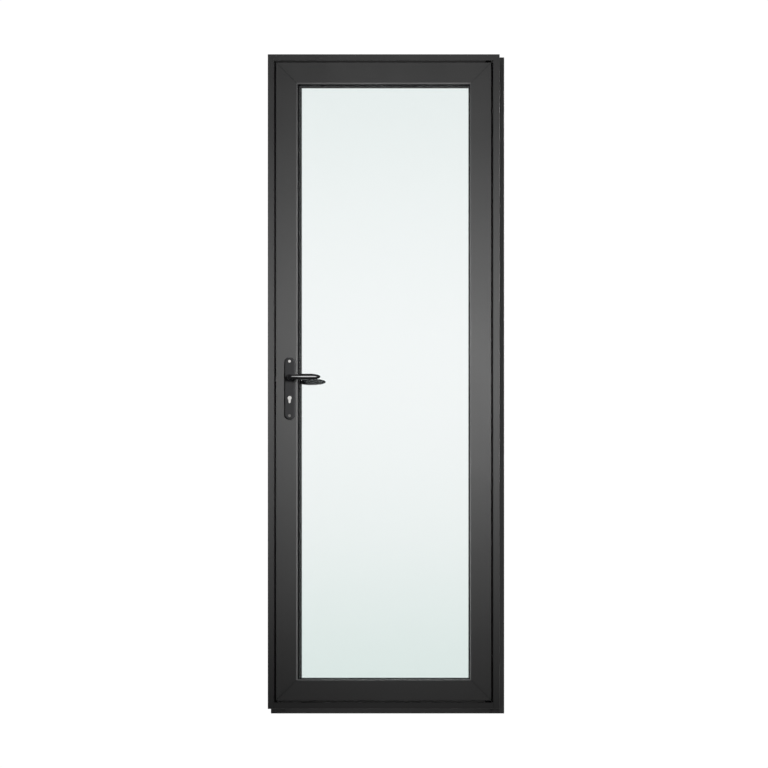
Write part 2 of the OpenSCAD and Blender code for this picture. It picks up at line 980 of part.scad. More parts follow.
placed() frame_head();
placed() jamb_left();
placed() jamb_right();
placed() frame_sill();
placed() frame_cleats();
placed() frame_seal();
placed() strike_plate();
placed() pivot_pin_bottom();
placed() pivot_pin_top();
placed() stile_lock();
placed() stile_pivot();
placed() rail_top();
placed() rail_bottom();
placed() corner_cleats();
placed() pivot_cleat_bottom();
placed() pivot_cleat_top();
placed() pane_front();
placed() pane_rear();
placed() spacer_bar();
placed() gasket_front();
placed() gasket_rear();
placed() bead_left();
placed() bead_right();
placed() bead_top();
placed() bead_bottom();
placed() setting_blocks();
placed() lock_case();
placed() lock_forend();
placed() cylinder_body();
placed() plate_front();
placed() plate_rear();
placed() plate_screws();
placed() lever_front();
placed() lever_rear();
placed() spindle();
placed() follower();
placed() latch_bolt();
placed() dead_bolt();
placed() key_plug_front();
placed() key_plug_rear();
placed() cylinder_cam();
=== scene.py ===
# %% [markdown]
# A glazed door in its metal frame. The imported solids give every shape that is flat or
# turned: bars, panes, beads, plates and lock. This lesson loads them, hangs the finishes
# on them, and adds what a solid modeller leaves coarse: the levers, the screw heads, the
# bevel of the plates, the hairlines where two bars meet and the lip of the glazing wedge.

import json

import bpy
import numpy as np
from mathutils import Matrix, Vector


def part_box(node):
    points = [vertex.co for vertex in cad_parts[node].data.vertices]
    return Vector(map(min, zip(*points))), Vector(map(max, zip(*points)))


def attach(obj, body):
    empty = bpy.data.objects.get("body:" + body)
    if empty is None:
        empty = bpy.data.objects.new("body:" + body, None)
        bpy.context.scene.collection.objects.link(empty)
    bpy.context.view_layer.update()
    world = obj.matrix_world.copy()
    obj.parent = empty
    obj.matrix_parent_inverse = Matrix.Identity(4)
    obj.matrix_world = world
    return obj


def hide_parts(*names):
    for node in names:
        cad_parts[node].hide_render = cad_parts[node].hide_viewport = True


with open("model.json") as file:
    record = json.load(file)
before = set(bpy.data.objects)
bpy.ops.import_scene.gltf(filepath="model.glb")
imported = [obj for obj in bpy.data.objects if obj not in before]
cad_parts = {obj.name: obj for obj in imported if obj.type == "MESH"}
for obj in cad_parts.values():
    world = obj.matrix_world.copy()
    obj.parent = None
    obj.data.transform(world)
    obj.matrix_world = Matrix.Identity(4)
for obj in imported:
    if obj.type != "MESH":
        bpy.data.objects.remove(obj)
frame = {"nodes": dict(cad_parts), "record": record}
nodes = frame["nodes"]
scene = bpy.context.scene
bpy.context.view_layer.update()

# %% [markdown]
# The picture shows the front as a true rectangle, while the depth slides to the right and
# down. No turned camera does that: it is an oblique view, as in a carpenter's drawing. An
# orthographic camera gives it when its matrix is sheared, so that it looks along a slanted
# line but keeps its picture plane upright. A parent's inverse can hold such a matrix.

# %% Camera
SLIDE = 0.14                     # sideways and downward shift for each metre of depth
PIXEL = 0.003583                 # metres of the front for one pixel of the picture
PICTURE = 768                    # pixels along each side of the picture
FRONT_MID = (0.00145, 1.166)     # place on the front face at the middle of the picture
FAR = 6.0                        # metres from the front face to the camera
CLIP_END = 100.0                 # metres beyond which the camera sees nothing

front_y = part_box("frame_head")[0].y
across, up, back = Vector((1, 0, 0)), Vector((0, 0, 1)), Vector((SLIDE, -1, -SLIDE))
stand = Vector((FRONT_MID[0], front_y, FRONT_MID[1])) + back * FAR
columns = [(*axis, 0) for axis in (across, up, back)] + [(*stand, 1)]
camera_data = bpy.data.cameras.new("camera")
camera_data.type = "ORTHO"
camera_data.ortho_scale = PIXEL * PICTURE
camera_data.clip_end = CLIP_END
camera = bpy.data.objects.new("camera", camera_data)
tripod = bpy.data.objects.new("tripod", None)
scene.collection.objects.link(tripod)
scene.collection.objects.link(camera)
camera.parent = tripod
camera.matrix_parent_inverse = Matrix(columns).transposed()
scene.camera = camera
print("camera: oblique, picture", round(camera_data.ortho_scale, 3), "m wide")

# %% [markdown]
# Studio: a white world for the eye and for what is seen through glass, and a dim one for
# everything that it lights, so that dark metal keeps its depth.

# %% World
ROOM_DIM = 0.075                 # strength as a light
ROOM_WHITE = 1.03                # strength as a backdrop

scene.view_settings.view_transform = "Standard"
world = bpy.data.worlds.new("studio")
scene.world = world
world.use_nodes = True
tree = world.node_tree
tree.nodes.clear()
path = tree.nodes.new("ShaderNodeLightPath")
seen = tree.nodes.new("ShaderNodeMath")
seen.operation = "MAXIMUM"
dim = tree.nodes.new("ShaderNodeBackground")
dim.inputs["Color"].default_value = (1, 1, 1, 1)
dim.inputs["Strength"].default_value = ROOM_DIM
white = tree.nodes.new("ShaderNodeBackground")
white.inputs["Color"].default_value = (1, 1, 1, 1)
white.inputs["Strength"].default_value = ROOM_WHITE
either = tree.nodes.new("ShaderNodeMixShader")
out = tree.nodes.new("ShaderNodeOutputWorld")
tree.links.new(path.outputs["Is Camera Ray"], seen.inputs[0])
tree.links.new(path.outputs["Is Transmission Ray"], seen.inputs[1])
tree.links.new(seen.outputs[0], either.inputs[0])
tree.links.new(dim.outputs[0], either.inputs[1])
tree.links.new(white.outputs[0], either.inputs[2])
tree.links.new(either.outputs[0], out.inputs[0])
print("world: white to the eye,", ROOM_DIM, "as a light")


# %% [markdown]
# The key lamp stands in front, a little to the right, which leaves the middle of the door
# bright and its ends dark. It is hidden from mirror-like rays, because the picture shows no
# lamp in the panes. A lamp over the door lays a sheen on the bars, and one stands behind it.

# %% Lamps
def lamp(name, place, aim, size, watts, mirrored=True, matt=True, shadow=True, spread=180.0):
    """Oblong area lamp of a given size, power and spread in degrees, aimed at a point. It may
    be hidden from mirror-like rays, light only by mirror-like ones, or cast no shadow."""
    data = bpy.data.lights.new(name, "AREA")
    data.shape = "RECTANGLE"
    data.size, data.size_y = size
    data.energy = watts
    data.spread = np.radians(spread)
    data.use_shadow = shadow
    made = bpy.data.objects.new(name, data)
    made.location = place
    made.rotation_euler = (Vector(aim) - Vector(place)).to_track_quat("-Z", "Y").to_euler()
    made.visible_glossy = mirrored
    made.visible_diffuse = matt
    made.visible_camera = False
    made.visible_transmission = False
    scene.collection.objects.link(made)
    return made


def facing_lamp(name, x, far, z, size, watts, **ways):
    """Lamp at a distance before the front of the door, facing it squarely."""
    return lamp(name, (x, front_y - far, z), (x, 0, z), size, watts, **ways)


DOOR_AIM = (0, 0, 1.2)
KEY_X, KEY_FAR, KEY_Z = 0.11, 1.6, 1.28
KEY_SIZE, KEY_WATTS, KEY_SPREAD = (0.5, 0.5), 13.4, 90.0
OVER_PLACE, OVER_SIZE, OVER_WATTS = (-0.1, -0.9, 3.1), (1.6, 0.25), 16.0
REAR_PLACE, REAR_SIZE, REAR_WATTS = (0, 2.6, 1.9), (1.4, 1.4), 60.0
key_lamp = facing_lamp("key_lamp", KEY_X, KEY_FAR, KEY_Z, KEY_SIZE, KEY_WATTS,
                       mirrored=False, spread=KEY_SPREAD)
over_lamp = lamp("over_lamp", OVER_PLACE, DOOR_AIM, OVER_SIZE, OVER_WATTS, matt=False)
rear_lamp = lamp("rear_lamp", REAR_PLACE, DOOR_AIM, REAR_SIZE, REAR_WATTS)
print("lamps:", key_lamp.name, over_lamp.name, rear_lamp.name)

# %% White cards
CARD_X, CARD_FAR, CARD_Z = -0.5, 1.4, 1.38
CARD_SIZE, NICKEL_WATTS, FAINT_WATTS = (3.6, 2.4), 20.5, 4.0
LEVER_CARD_X, LEVER_CARD_SIZE, LEVER_WATTS = -0.41, (0.42, 0.5), 7.6
nickel_card, faint_card, lever_card = (
    facing_lamp(name, x, CARD_FAR, CARD_Z, size, watts) for name, x, size, watts in (
        ("nickel_card", CARD_X, CARD_SIZE, NICKEL_WATTS),
        ("faint_card", CARD_X, CARD_SIZE, FAINT_WATTS),
        ("lever_card", LEVER_CARD_X, LEVER_CARD_SIZE, LEVER_WATTS)))
print("cards:", nickel_card.name, faint_card.name, lever_card.name)

# %% [markdown]
# Two thin strips light the open throat of the frame, from the right and from below. Four
# washes graze the leaf from its sides, so that the rounded noses of its bars shine.

# %% Strips and washes
MID_Z = 1.17                     # half the height of the door
THIN = 0.03                      # width of the long lamps
THROAT_Y = front_y + 0.03        # depth of the strips
THROAT_IN = 0.04                 # how much deeper the strips aim
SIDE_X, SIDE_AIM_X, SIDE_LONG, SIDE_WATTS = 0.57, 0.41, 2.3, 2.6
UNDER_Z, UNDER_LONG, UNDER_WATTS = -0.12, 0.8, 0.55
WASH_Y = front_y - 0.035         # depth of the washes
WASHES = (                       # name, place from the middle of the door, size and watts
    ("right", 2.2, 0, (THIN, 2.4), 31.0), ("left", -2.2, 0, (THIN, 1.6), 29.0),
    ("top", 0, 2.6, (0.8, THIN), 13.0), ("bottom", 0, -2.6, (0.8, THIN), 36.0))

lamp("side_strip", (SIDE_X, THROAT_Y, MID_Z), (SIDE_AIM_X, THROAT_Y + THROAT_IN, MID_Z),
     (THIN, SIDE_LONG), SIDE_WATTS, mirrored=False)
lamp("under_strip", (0, THROAT_Y, UNDER_Z), (0, THROAT_Y + THROAT_IN, 0),
     (UNDER_LONG, THIN), UNDER_WATTS, mirrored=False)
washes = [lamp("wash_" + name, (x, WASH_Y, MID_Z + z), (0, WASH_Y, MID_Z), size, watts)
          for name, x, z, size, watts in WASHES]
print("lamps and cards so far:", len(bpy.data.lights))

# %% [markdown]
# The picture has no ground in it, and the slanted view looks up from below the ground. So
# the floor is pale from above and clear from below, as a sheet of one-way paper would be.

# %% Floor
FLOOR_HALF = 12.0                # metres from the middle to an edge
FLOOR_PALE, FLOOR_GLOW = (0.8, 0.8, 0.8, 1), 0.62

floor_mesh = bpy.data.meshes.new("floor")
floor_mesh.from_pydata(
    [(x * FLOOR_HALF, y * FLOOR_HALF, 0.0) for x, y in ((-1, -1), (1, -1), (1, 1), (-1, 1))],
    [], [(0, 1, 2, 3)])
floor = bpy.data.objects.new("floor", floor_mesh)
scene.collection.objects.link(floor)
paper = bpy.data.materials.new("floor_paper")
paper.use_nodes = True
tree = paper.node_tree
tree.nodes.clear()
side = tree.nodes.new("ShaderNodeNewGeometry")
eye = tree.nodes.new("ShaderNodeLightPath")
matt = tree.nodes.new("ShaderNodeBsdfDiffuse")
matt.inputs["Color"].default_value = FLOOR_PALE
glow = tree.nodes.new("ShaderNodeEmission")
glow.inputs["Strength"].default_value = FLOOR_GLOW
lit = tree.nodes.new("ShaderNodeAddShader")
pale = tree.nodes.new("ShaderNodeMixShader")
clear = tree.nodes.new("ShaderNodeBsdfTransparent")
one_way = tree.nodes.new("ShaderNodeMixShader")
out = tree.nodes.new("ShaderNodeOutputMaterial")
tree.links.new(matt.outputs[0], lit.inputs[0])
tree.links.new(glow.outputs[0], lit.inputs[1])
tree.links.new(eye.outputs["Is Camera Ray"], pale.inputs[0])
tree.links.new(clear.outputs[0], pale.inputs[1])
tree.links.new(lit.outputs[0], pale.inputs[2])
tree.links.new(side.outputs["Backfacing"], one_way.inputs[0])
tree.links.new(pale.outputs[0], one_way.inputs[1])
tree.links.new(clear.outputs[0], one_way.inputs[2])
tree.links.new(one_way.outputs[0], out.inputs[0])
floor_mesh.materials.append(paper)
print("floor:", 2 * FLOOR_HALF, "m wide")

# %% [markdown]
# Finishes. Each is one Principled shader. What is the same all over sits on the shader's own
# sockets; grain, small changes of gloss and fine relief come from noise on Object
# coordinates, which are metres here, so a scale of 900 means grains of about a millimetre.

# %% Finish helpers
NOISE_LOW, NOISE_HIGH = 0.3, 0.7     # noise values that reach the ends of a socket's range


def finish(name, color, **sockets):
    """New material with a Principled shader: its colour, and any other sockets by name."""
    made = bpy.data.materials.new(name)
    made.use_nodes = True
    shader = made.node_tree.nodes["Principled BSDF"]
    shader.inputs["Base Color"].default_value = (*color, 1)
    for socket, value in sockets.items():
        title = socket.replace("_", " ").title().replace("Ior", "IOR")
        shader.inputs[title].default_value = value
    return made


def grain(made, scale, stretch=(1, 1, 1), detail=2.0):
    """Noise of a given scale on Object coordinates, stretched along the axes; its node."""
    tree = made.node_tree
    place = tree.nodes.new("ShaderNodeTexCoord")
    turn = tree.nodes.new("ShaderNodeMapping")
    turn.inputs["Scale"].default_value = stretch
    noise = tree.nodes.new("ShaderNodeTexNoise")
    noise.inputs["Scale"].default_value = scale
    noise.inputs["Detail"].default_value = detail
    tree.links.new(place.outputs["Object"], turn.inputs["Vector"])
    tree.links.new(turn.outputs["Vector"], noise.inputs["Vector"])
    return noise


def relief(made, noise, height):
    """Bump of a given height in metres from a noise."""
    tree = made.node_tree
    bump = tree.nodes.new("ShaderNodeBump")
    bump.inputs["Distance"].default_value = height
    tree.links.new(noise.outputs[0], bump.inputs["Height"])
    tree.links.new(bump.outputs["Normal"], tree.nodes["Principled BSDF"].inputs["Normal"])


def vary(made, noise, socket, low, high):
    """Carries a noise onto a socket between two values; for a colour they are triples."""
    tree = made.node_tree
    into = tree.nodes["Principled BSDF"].inputs[socket]
    ramp = tree.nodes.new("ShaderNodeValToRGB")
    ramp.color_ramp.elements[0].position = NOISE_LOW
    ramp.color_ramp.elements[1].position = NOISE_HIGH
    pair = (low, high) if socket == "Base Color" else ((low,) * 3, (high,) * 3)
    for stop, value in zip(ramp.color_ramp.elements, pair):
        stop.color = (*value, 1)
    tree.links.new(noise.outputs[0], ramp.inputs["Fac"])
    tree.links.new(ramp.outputs["Color"], into)


def shade(color, by):
    """A colour made lighter or darker by a factor."""
    return tuple(c * by for c in color)


print("finishes: noise from", NOISE_LOW, "to", NOISE_HIGH, "is carried onto a socket")

# %% Powder coat
COAT = (0.064, 0.064, 0.064)
FRAME_SHADE = 0.98               # the frame is a trace darker than the leaf
TONE = 0.04                      # share by which the tone changes over a bar


def powder_coat(name, color):
    """Satin powder coat: fine orange peel, cloudy gloss and a slight change of tone."""
    made = finish(name, color, roughness=0.45, specular_ior_level=0.35)
    relief(made, grain(made, scale=1100.0), height=0.00006)
    vary(made, grain(made, scale=9.0, detail=4.0), "Roughness", low=0.4, high=0.5)
    vary(made, grain(made, scale=3.0), "Base Color",
         low=shade(color, 1 - TONE), high=shade(color, 1 + TONE))
    return made


frame_coat = powder_coat("frame_coat", shade(COAT, FRAME_SHADE))
leaf_coat = powder_coat("leaf_coat", COAT)
print("coats:", frame_coat.name, leaf_coat.name)


# %% Rubber and plastic
def soft_rubber(name, color, change, roughness):
    """Matt rubber: fine relief, and a colour that goes up and down by a given change."""
    made = finish(name, color, roughness=roughness, specular_ior_level=0.25)
    relief(made, grain(made, scale=700.0), height=0.00008)
    vary(made, grain(made, scale=30.0), "Base Color",
         low=tuple(c - change for c in color), high=tuple(c + change for c in color))
    return made


rubber = soft_rubber("seal_rubber", (0.008, 0.008, 0.0085), change=0.002, roughness=0.62)
wedge = soft_rubber("wedge_rubber", (0.02, 0.02, 0.021), change=0.003, roughness=0.6)
block = finish("block_plastic", (0.05, 0.05, 0.05), roughness=0.55)
relief(block, grain(block, scale=500.0), height=0.00005)
print("soft pieces:", rubber.name, wedge.name, block.name)

# %% [markdown]
# Float glass is nearly clear, with a cold green cast. The panes are real slabs, so the shader
# only needs to transmit. A ramp over the height paints light falloff into the tint as painted
# shade: the view through is palest at half height, and darker and greener towards the floor
# and a little towards the top.

# %% Glass
GLASS_TOP = 2.4                  # height in metres at the end of the ramp
# painted shade: tints that stand in for light falling off away from half height, darkest at the
# floor
GLASS_PAINTED_FALLOFF = (                  # height in metres and colour
    (0.1, (0.826, 0.885, 0.87)), (0.6, (0.914, 0.939, 0.934)), (1.2, (0.954, 0.969, 0.969)),
    (1.8, (0.929, 0.952, 0.949)), (2.3, (0.885, 0.919, 0.914)))


def by_height(made, stops, top):
    """Colour ramp on the height of Object coordinates, from the floor up to a top."""
    tree = made.node_tree
    place = tree.nodes.new("ShaderNodeTexCoord")
    split = tree.nodes.new("ShaderNodeSeparateXYZ")
    share = tree.nodes.new("ShaderNodeMath")
    share.operation = "DIVIDE"
    share.inputs[1].default_value = top
    ramp = tree.nodes.new("ShaderNodeValToRGB")
    ramp.color_ramp.interpolation = "B_SPLINE"
    stop = ramp.color_ramp.elements
    while len(stop) < len(stops):
        stop.new(0.5)
    for made_stop, (height, color) in zip(stop, stops):
        made_stop.position = height / top
        made_stop.color = (*color, 1)
    tree.links.new(place.outputs["Object"], split.inputs[0])
    tree.links.new(split.outputs["Z"], share.inputs[0])
    tree.links.new(share.outputs[0], ramp.inputs["Fac"])
    tree.links.new(ramp.outputs["Color"], tree.nodes["Principled BSDF"].inputs["Base Color"])


glass = finish("pane_glass", (0.955, 0.975, 0.975), roughness=0.0, ior=1.45,
               transmission_weight=1.0)
# the height ramp paints light falloff into the glass tint: painted shade towards the floor and the
# top
by_height(glass, GLASS_PAINTED_FALLOFF, GLASS_TOP)
print("glass:", glass.name, "with", len(GLASS_PAINTED_FALLOFF), "tones")

# %% Metals and gloss black
gloss = finish("handle_gloss", (0.003, 0.003, 0.0035), roughness=0.16,
               coat_weight=0.6, coat_roughness=0.06)
relief(gloss, grain(gloss, scale=260.0), height=0.00002)
vary(gloss, grain(gloss, scale=40.0, detail=4.0), "Roughness", low=0.13, high=0.2)
satin = finish("plate_satin", (0.03, 0.03, 0.031), roughness=0.36, specular_ior_level=0.25)
relief(satin, grain(satin, scale=800.0), height=0.00003)
vary(satin, grain(satin, scale=40.0, detail=4.0), "Roughness", low=0.32, high=0.42)
nickel = finish("nickel", (0.80, 0.79, 0.77), metallic=1.0, roughness=0.22)
relief(nickel, grain(nickel, scale=1500.0, stretch=(1, 1, 8)), height=0.00001)
vary(nickel, grain(nickel, scale=300.0), "Roughness", low=0.18, high=0.28)
pivot = finish("pivot_steel", (0.03, 0.03, 0.032), metallic=1.0, roughness=0.4)
relief(pivot, grain(pivot, scale=900.0), height=0.00002)
steel = finish("lock_steel", (0.52, 0.52, 0.53), metallic=1.0, roughness=0.34)
relief(steel, grain(steel, scale=900.0, stretch=(12, 12, 0.6)), height=0.00002)
vary(steel, grain(steel, scale=200.0, stretch=(6, 6, 0.4)), "Roughness", low=0.28, high=0.42)
cleat = finish("cleat_aluminium", (0.62, 0.63, 0.64), metallic=1.0, roughness=0.42)
relief(cleat, grain(cleat, scale=400.0), height=0.00004)
spacer = finish("spacer_metal", (0.045, 0.047, 0.047), metallic=1.0, roughness=0.5)
relief(spacer, grain(spacer, scale=600.0), height=0.00003)
print("metals:", gloss.name, satin.name, nickel.name, pivot.name, steel.name, cleat.name,
      spacer.name)

# %% [markdown]
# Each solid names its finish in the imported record, so one table of slots dresses them all.

# %% Dress the solids
wardrobe = {
    "frame_coating": frame_coat, "leaf_coating": leaf_coat, "seal_rubber": rubber,
    "block_plastic": block, "pane_glass": glass, "spacer_metal": spacer,
    "handle_gloss": gloss, "plate_satin": satin, "nickel": nickel,
    "cleat_aluminium": cleat, "pivot_steel": pivot, "lock_steel": steel,
}
for part in frame["record"]["subparts"]:
    mesh = nodes[part["node"]].data
    mesh.materials.clear()
    mesh.materials.append(wardrobe[part["material_slot"]])
for name in ("pane_front", "pane_rear"):
    nodes[name].visible_shadow = False

# %% [markdown]
# New pieces are grids of points: one parameter runs along the piece and the other round it.
# A grid is turned into a mesh in whole arrays: as a tube with closed ends, as a hoop that
# runs back into itself, or as an open sleeve that others are joined to.

# %% From a grid to a mesh
ROUNDED = 7                      # decimals of a metre to which equal points agree
NO_FANS = np.empty((0, 3), int)


def tube_faces(rows, around, first):
    """Quads between rings: each joins a point to its neighbours, the last to the first."""
    row, side = np.meshgrid(np.arange(rows - 1), np.arange(around), indexing="ij")
    here = first + row * around + side
    beside = first + row * around + (side + 1) % around
    return np.stack([here, beside, beside + around, here + around], -1).reshape(-1, 4)


def tube(points, first=0):
    """Closed tube from rings of points: its faces, with a fan to the middle of each end."""
    rows, around, _ = points.shape
    ends = points[[0, -1]].mean(1)
    everything = np.concatenate([points.reshape(-1, 3), ends])
    side = np.arange(around)
    beside = (side + 1) % around
    start, end = first + rows * around, first + rows * around + 1
    last = first + (rows - 1) * around
    fans = np.concatenate([
        np.stack([np.full(around, start), first + beside, first + side], -1),
        np.stack([np.full(around, end), last + side, last + beside], -1)])
    return everything, tube_faces(rows, around, first), fans


def hoop(points, first=0):
    """Hoop from rings of points: faces join each ring to the next, the last to the first."""
    rows, around, _ = points.shape
    row, side = np.meshgrid(np.arange(rows), np.arange(around), indexing="ij")
    after, beside = (row + 1) % rows, (side + 1) % around
    quads = [first + r * around + s
             for r, s in ((row, side), (row, beside), (after, beside), (after, side))]
    return points.reshape(-1, 3), np.stack(quads, -1).reshape(-1, 4), NO_FANS


def sleeve(points, first=0):
    """Tube with open ends, for skins that are joined at their shared points."""
    rows, around, _ = points.shape
    return points.reshape(-1, 3), tube_faces(rows, around, first), NO_FANS


def piece(name, grids, material, body, flip=False, skin=tube, smooth=True):
    """Mesh object of one or more tubes, hoops or sleeves, riding on a body. Equal points are
    made one."""
    places, faces, count = [], [], 0
    for points in grids:
        made, quads, fans = skin(points, count)
        places.append(made)
        faces += quads.tolist() + fans.tolist()
        count += len(made)
    if flip:
        faces = [f[::-1] for f in faces]
    apart = np.concatenate(places)
    _, kept, now = np.unique(np.round(apart, ROUNDED), axis=0,
                             return_index=True, return_inverse=True)
    faces = [now.ravel()[f].tolist() for f in faces]
    mesh = bpy.data.meshes.new(name)
    mesh.from_pydata(apart[kept].tolist(), [], faces)
    mesh.polygons.foreach_set("use_smooth", np.full(len(mesh.polygons), smooth))
    mesh.materials.append(material)
    mesh.update()
    made = bpy.data.objects.new(name, mesh)
    scene.collection.objects.link(made)
    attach(made, body)
    print(name, "faces:", len(mesh.polygons))
    return made


print("skins:", tube.__name__, hoop.__name__, sleeve.__name__)

# %% [markdown]
# The lever is a round neck that leaves the plate, bends through a right angle and swells
# into a flattened grip. A profile carried along that path makes it in one skin: an ellipse
# whose half height and half thickness change with the way along. Sweeping a drawn curve
# would keep one section, which is why the section is worked out ring by ring.

# %% Lever shape
AROUND = 48                      # points round a ring
REACH = 0.038                    # from the leaf's face out to the grip's middle line
NECK_R, BEND_R = 0.0075, 0.014
GRIP_HALF_H, GRIP_HALF_T = 0.011, 0.0065
BOW = 0.002                      # how far the grip curves back towards the leaf
SWELL, TIP = 0.4, 0.4            # shares of the grip in which it swells and is rounded off
TIP_LEAST = 1e-4                 # square of the tip's last size against the full one
OFF_COLLAR = 0.003               # from the plate's face to the neck's first ring
NECK_RINGS, GRIP_RINGS, BEND_STEP = 6, 72, 7.5
CROWDED = 1.6                    # power that crowds the rings towards the tip

plate_low, plate_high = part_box("plate_front")
_, lever_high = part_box("lever_front")
journal_low, journal_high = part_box("spindle")
axis_x = (journal_low.x + journal_high.x) / 2
axis_z = (journal_low.z + journal_high.z) / 2
leaf_face = plate_high.y
plate_face = plate_low.y
tip_x = lever_high.x - axis_x


def ease(t):
    """Smooth step: three t squared less two t cubed."""
    return t * t * (3 - 2 * t)


def full_turn():
    """Angles of the points round a ring."""
    return np.linspace(0, 2 * np.pi, AROUND, endpoint=False)


def lever_rings():
    """Rings of the lever. Centre: straight out, a quarter circle, then along the grip with a
    slight bow. Half sizes: neck radius eased to the grip's, times an elliptic falling off."""
    straight = np.linspace(leaf_face - plate_face + OFF_COLLAR, REACH - BEND_R, NECK_RINGS)
    bend = np.radians(np.arange(BEND_STEP, 90, BEND_STEP))
    t = 1 - (1 - np.linspace(0, 1, GRIP_RINGS)) ** CROWDED
    x = np.concatenate([0 * straight, BEND_R * (1 - np.cos(bend)),
                        BEND_R + (tip_x - BEND_R) * t])
    y = np.concatenate([-straight, -(REACH - BEND_R) - BEND_R * np.sin(bend),
                        -REACH + BOW * np.sin(np.pi * t)])
    lean = np.concatenate([0 * straight, bend, np.full(t.size, np.pi / 2)])
    swell = ease(np.minimum(1, t / SWELL))
    into_tip = np.clip((t - (1 - TIP)) / TIP, 0, 1)
    round_tip = np.sqrt(np.clip(1 - into_tip ** 2, TIP_LEAST, 1))
    plain = np.full(straight.size + bend.size, NECK_R)
    half_h, half_t = (
        np.concatenate([plain, (NECK_R + (grip - NECK_R) * swell) * round_tip])[:, None]
        for grip in (GRIP_HALF_H, GRIP_HALF_T))
    turn = full_turn()
    rings = np.empty((x.size, AROUND, 3))
    rings[..., 0] = x[:, None] + np.cos(lean)[:, None] * half_t * np.cos(turn)
    rings[..., 1] = y[:, None] + np.sin(lean)[:, None] * half_t * np.cos(turn)
    rings[..., 2] = half_h * np.sin(turn)
    return rings


print("lever: neck of", NECK_R, "m radius, grip out to", round(tip_x, 4), "m from its axis")

# %% Collar shape
COLLAR_R, COLLAR_T = 0.012, 0.006
COLLAR_EDGE, COLLAR_FOOT = 0.002, 0.0004     # rounding at the outer edge, ease at the foot
COLLAR_ARC = 7                               # points along the rounding
OFF_PLATE = 0.0003                           # gap under the collar


def turned(radius, depth):
    """Turned shape about Y: rings at given depths, of a radius that may change with the angle."""
    turn = full_turn()
    rings = np.empty((len(radius), AROUND, 3))
    rings[..., 0] = radius * np.cos(turn)
    rings[..., 1] = depth[:, None]
    rings[..., 2] = radius * np.sin(turn)
    return rings


def collar_rings():
    """Collar: a short cylinder whose outer edge is a quarter circle."""
    near = leaf_face - plate_face + OFF_PLATE
    arc = np.radians(np.linspace(0, 90, COLLAR_ARC))
    radius = np.concatenate([[COLLAR_R - COLLAR_FOOT, COLLAR_R],
                             COLLAR_R - COLLAR_EDGE + COLLAR_EDGE * np.cos(arc)])
    depth = np.concatenate([[-near, -near - COLLAR_FOOT],
                            -near - COLLAR_T + COLLAR_EDGE - COLLAR_EDGE * np.sin(arc)])
    return turned(radius[:, None], depth)


print("collar:", 2 * COLLAR_R, "m across")


# %% Both levers
def at_front(rings):
    """From the lever's own axis to its place on the front of the leaf."""
    return rings + (axis_x, leaf_face, axis_z)


def at_back(rings):
    """The same shape mirrored through the middle of the leaf."""
    return at_front(rings) * (1, -1, 1)


for where, place, node in (("front", at_front, "lever_front"), ("rear", at_back, "lever_rear")):
    for name, rings in (("lever_skin_", lever_rings()), ("lever_collar_", collar_rings())):
        made = piece(name + where, [place(rings)], gloss, "lever",
                     flip=where == "rear")
        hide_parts(node)

# %% [markdown]
# White cards stand where the handles mirror them, and only the handles may: the panes and
# bars beside them show no card in the picture. Light linking names what a lamp shines on,
# by a collection of pieces that receive it. The lamp over the door is for the coated bars,
# and the washes are for the bars of the leaf.


# %% What each lamp shines on
def shine_on(name, lamps, pieces):
    """Collection of the pieces that some lamps shine on, and on nothing else."""
    group = bpy.data.collections.new(name)
    for made in pieces:
        group.objects.link(made)
    for made in lamps:
        made.light_linking.receiver_collection = group
    return group


mirrors = shine_on("mirrors_of_card", [nickel_card],
                   [nodes[name] for name in ("cylinder_body", "key_plug_front")])
shine_on("mirrors_of_lever_card", [lever_card], [bpy.data.objects["lever_skin_front"]])
coated = shine_on("bars_under_lamp", [over_lamp], [
    nodes[part["node"]] for part in frame["record"]["subparts"]
    if part["material_slot"] in ("frame_coating", "leaf_coating")])
shine_on("bars_in_wash", washes, [
    nodes[name] for name in ("stile_lock", "stile_pivot", "rail_top", "rail_bottom")])

# %% [markdown]
# In the gap round the leaf the slanted view sees one wall on each side. No lamp reaches it
# there, yet the picture keeps a trace of light in it. So each of the four walls has a lamp
# straight in front of it that casts no shadow and shines on that bar alone.

# %% Lamps for the gap
GAP_FAR, GAP_SIZE = 1.0, (0.3, 0.3)
GAP_WALLS = (                    # bar, way out from its wall along X and Z, and watts
    ("jamb_left", (1, 0), 1.9), ("stile_pivot", (1, 0), 1.9),
    ("frame_head", (0, -1), 4.0), ("rail_bottom", (0, -1), 2.8))

for name, side, watts in GAP_WALLS:
    wall_low, wall_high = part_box(name)
    aim = (wall_high.x, THROAT_Y, KEY_Z) if side[0] else (KEY_X, THROAT_Y, wall_low.z)
    place = (aim[0] + side[0] * GAP_FAR, THROAT_Y, aim[2] + side[1] * GAP_FAR)
    made = lamp("gap_lamp_" + name, place, aim, GAP_SIZE, watts, mirrored=False, shadow=False)
    shine_on("gap_wall_" + name, [made], [nodes[name]])
print("lamps for the gap:", len(GAP_WALLS))

# %% [markdown]
# Plate screws: countersunk heads with a hexagon socket. In polar form a hexagon's edge lies at
# its flat's half width over the cosine of the angle to the nearest flat, so the same rings
# that turn the head can also cut the socket.

# %% Screw heads
HEAD_R, SHANK_R, RIM = 0.005, 0.0025, 0.0006
SOCKET_FLAT, SOCKET_DEEP = 0.00125, 0.0018
SOCKET_FLOOR = 0.5               # size of the floor's first ring against the socket's
EDGE, SCREW_L = 0.00015, 0.03
screw_low, screw_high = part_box("plate_screws")


